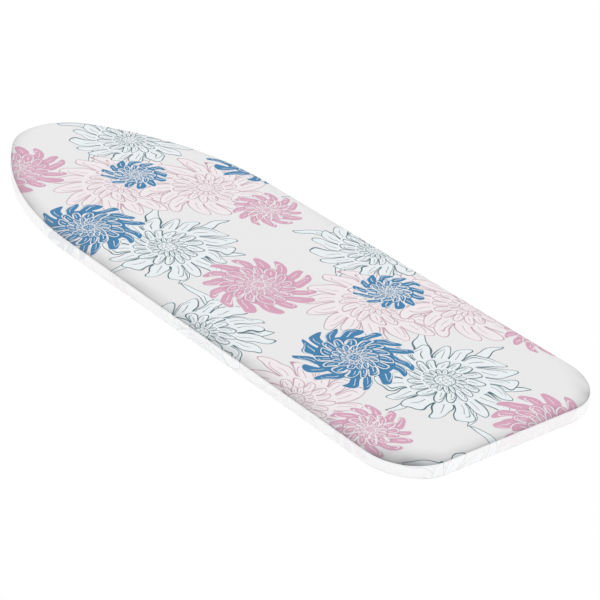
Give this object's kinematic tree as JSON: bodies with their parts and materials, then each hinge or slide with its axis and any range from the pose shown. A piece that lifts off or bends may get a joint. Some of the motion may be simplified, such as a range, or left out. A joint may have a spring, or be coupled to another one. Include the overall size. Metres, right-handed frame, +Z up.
{
  "type": "ironing board",
  "caption": "Folding ironing board with a padded print cover, rounded nose, steel rim and mesh top, crossed legs and a stepless slide lock, laid flat with its legs folded under.",
  "frame": {"origin": "on the floor, under the middle of the folded board's bounding box", "axes": "+X towards the rounded nose, +Y to the left seen from the tail, +Z up out of the padded top"},
  "size_m": [1.2999, 0.45, 0.043],
  "materials": {
    "cover_fabric": "plain-woven cotton with a printed flower pattern",
    "foam": "needled felt and foam padding",
    "mesh_steel": "light grey powder coat",
    "frame_paint": "white powder coat",
    "leg_paint": "silver grey powder coat",
    "zinc_steel": "zinc plated pressed steel",
    "bright_steel": "bright drawn steel",
    "spring_steel": "spring wire",
    "nylon_grey": "grey moulded nylon",
    "grip_plastic": "blue moulded plastic",
    "foot_rubber": "dark grey rubber"
  },
  "bodies": {
    "board": {"cover": "cover_fabric", "foam_pad": "foam", "top_panel": "mesh_steel", "rim_tube": "frame_paint", "cross_rib_1": "frame_paint", "cross_rib_2": "frame_paint", "cross_rib_3": "frame_paint", "cross_rib_4": "frame_paint", "cross_rib_5": "frame_paint", "cross_rib_6": "frame_paint", "pivot_plate": "frame_paint", "pivot_bracket_left": "zinc_steel", "pivot_bracket_right": "zinc_steel", "guide_channel": "zinc_steel", "channel_end_plates": "zinc_steel", "lock_rod": "bright_steel"},
    "outer_leg": {"outer_leg_tube_left": "leg_paint", "outer_leg_tube_right": "leg_paint", "outer_foot_bar": "leg_paint", "outer_foot_cap_left": "foot_rubber", "outer_foot_cap_right": "foot_rubber", "pivot_pins": "bright_steel", "crossing_bolts": "bright_steel", "crossing_spacers": "nylon_grey", "crossing_nuts": "bright_steel"},
    "inner_leg": {"inner_leg_tube_left": "leg_paint", "inner_leg_tube_right": "leg_paint", "inner_crossbar": "bright_steel", "inner_tie": "leg_paint", "inner_foot_bar": "leg_paint", "inner_foot_cap_left": "foot_rubber", "inner_foot_cap_right": "foot_rubber"},
    "slide_block": {"slide_block": "nylon_grey", "lever_pin": "bright_steel", "lock_spring": "spring_steel"},
    "lock_lever": {"lock_lever": "zinc_steel", "lever_grip": "grip_plastic"}
  },
  "joints": [
    {"name": "leg_fold", "type": "hinge", "parent": "board", "child": "outer_leg", "pos_m": [0.35, 0, 0.014], "axis": [0, -1, 0], "range_deg": [0, 58]},
    {"name": "leg_crossing", "type": "hinge", "parent": "outer_leg", "child": "inner_leg", "pos_m": [-0.1, 0, 0.014], "axis": [0, 1, 0], "range_deg": [0, 116]},
    {"name": "block_pivot", "type": "hinge", "parent": "inner_leg", "child": "slide_block", "pos_m": [-0.55, 0, 0.014], "axis": [0, -1, 0], "range_deg": [0, 58]},
    {"name": "lock_release", "type": "hinge", "parent": "slide_block", "child": "lock_lever", "pos_m": [-0.516, 0, 0.01], "axis": [0, -1, 0], "range_deg": [0, 8], "stiffness_Nm_per_rad": 0.6, "springref_deg": -5.73}
  ],
  "couplings": [
    {"joint": "leg_crossing", "follows": "leg_fold", "ratio": 2},
    {"joint": "block_pivot", "follows": "leg_fold", "ratio": 1}
  ]
}
